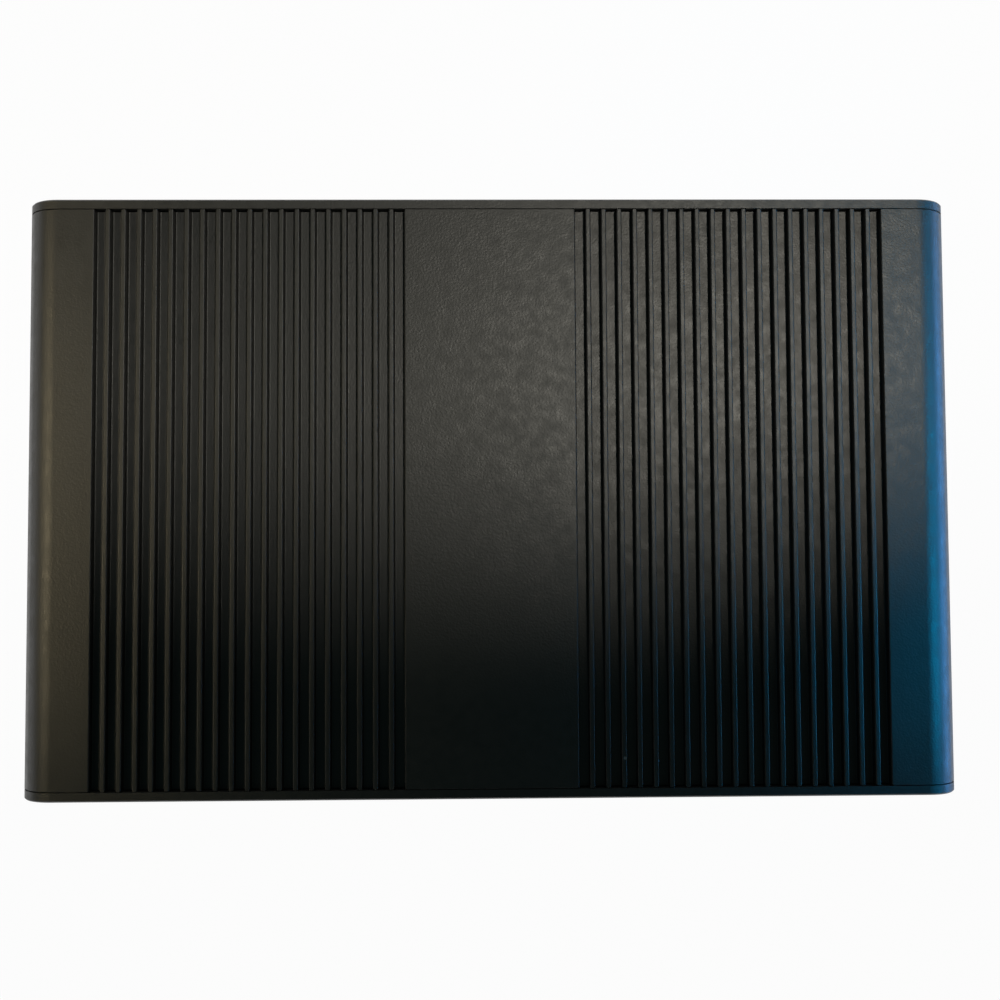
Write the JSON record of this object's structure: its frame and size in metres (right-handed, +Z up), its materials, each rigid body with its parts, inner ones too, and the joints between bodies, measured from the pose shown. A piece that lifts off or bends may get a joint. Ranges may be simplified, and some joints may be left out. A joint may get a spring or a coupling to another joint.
{
  "type": "fanless industrial computer",
  "caption": "Low black aluminium computer case with two finned fields on top, flush end plates with sockets, a sprung power button and rubber feet.",
  "frame": {"origin": "on the floor, under the middle of the case between its four feet", "axes": "+X across the fins to the right seen from the front, +Y from the front plate to the rear plate, +Z up"},
  "size_m": [0.2, 0.1334, 0.048],
  "materials": {
    "anodised_black": "fine bead-blasted black anodised aluminium",
    "plate_black": "fine blasted black anodised aluminium sheet",
    "black_screw": "black-oxide steel",
    "foot_rubber": "matt black moulded rubber",
    "bare_aluminium": "milled bare aluminium",
    "board_laminate": "green solder-masked circuit board",
    "chip_resin": "dark moulded chip resin",
    "thermal_pad": "soft grey-blue thermal pad",
    "choke_ferrite": "pressed ferrite block",
    "can_aluminium": "bright drawn aluminium can",
    "cell_steel": "nickel-plated pressed steel",
    "shell_steel": "nickel-plated pressed steel",
    "socket_plastic": "black moulded plastic",
    "tongue_plastic": "blue moulded plastic",
    "contact_gold": "gold-plated spring metal",
    "button_metal": "turned black anodised aluminium",
    "clear_pipe": "clear moulded light pipe",
    "lamp_plastic": "milky lamp body"
  },
  "bodies": {
    "case": {"top_housing": "anodised_black", "base_cover": "plate_black", "cover_screws": "black_screw", "front_plate": "plate_black", "rear_plate": "plate_black", "front_plate_screws": "black_screw", "rear_plate_screws": "black_screw", "foot_front_left": "foot_rubber", "foot_front_right": "foot_rubber", "foot_rear_left": "foot_rubber", "foot_rear_right": "foot_rubber", "foot_screws": "black_screw", "motherboard": "board_laminate", "board_screws": "cell_steel", "processor": "chip_resin", "processor_pad": "thermal_pad", "heat_block": "bare_aluminium", "flange_pad": "thermal_pad", "block_screws": "cell_steel", "inductors": "choke_ferrite", "capacitors": "can_aluminium", "network_chips": "chip_resin", "cell_holder": "socket_plastic", "coin_cell": "cell_steel", "memory_socket": "socket_plastic", "memory_module": "board_laminate", "drive_socket": "socket_plastic", "drive": "board_laminate", "drive_post": "contact_gold", "drive_screw": "cell_steel", "power_switch": "socket_plastic", "light_pipe": "clear_pipe", "power_lamp": "lamp_plastic", "usb_shell_1": "shell_steel", "usb_insert_1": "tongue_plastic", "usb_shell_2": "shell_steel", "usb_insert_2": "tongue_plastic", "usb_shell_3": "shell_steel", "usb_insert_3": "tongue_plastic", "lan_shell_1": "shell_steel", "lan_insert_1": "socket_plastic", "lan_contacts_1": "contact_gold", "lan_shell_2": "shell_steel", "lan_insert_2": "socket_plastic", "lan_contacts_2": "contact_gold", "sound_jack_1": "socket_plastic", "sound_jack_2": "socket_plastic", "hdmi_shell": "shell_steel", "hdmi_insert": "socket_plastic", "display_shell": "shell_steel", "display_insert": "socket_plastic", "serial_shell": "shell_steel", "serial_insert": "socket_plastic", "serial_pins": "contact_gold", "serial_posts": "cell_steel", "power_jack": "socket_plastic", "power_jack_pin": "contact_gold"},
    "button": {"power_button": "button_metal", "switch_plunger": "socket_plastic"}
  },
  "joints": [
    {"name": "button_press", "type": "slide", "parent": "case", "child": "button", "axis": [0, 1, 0], "range_m": [0, 0.0008], "stiffness_N_per_m": 2500}
  ]
}
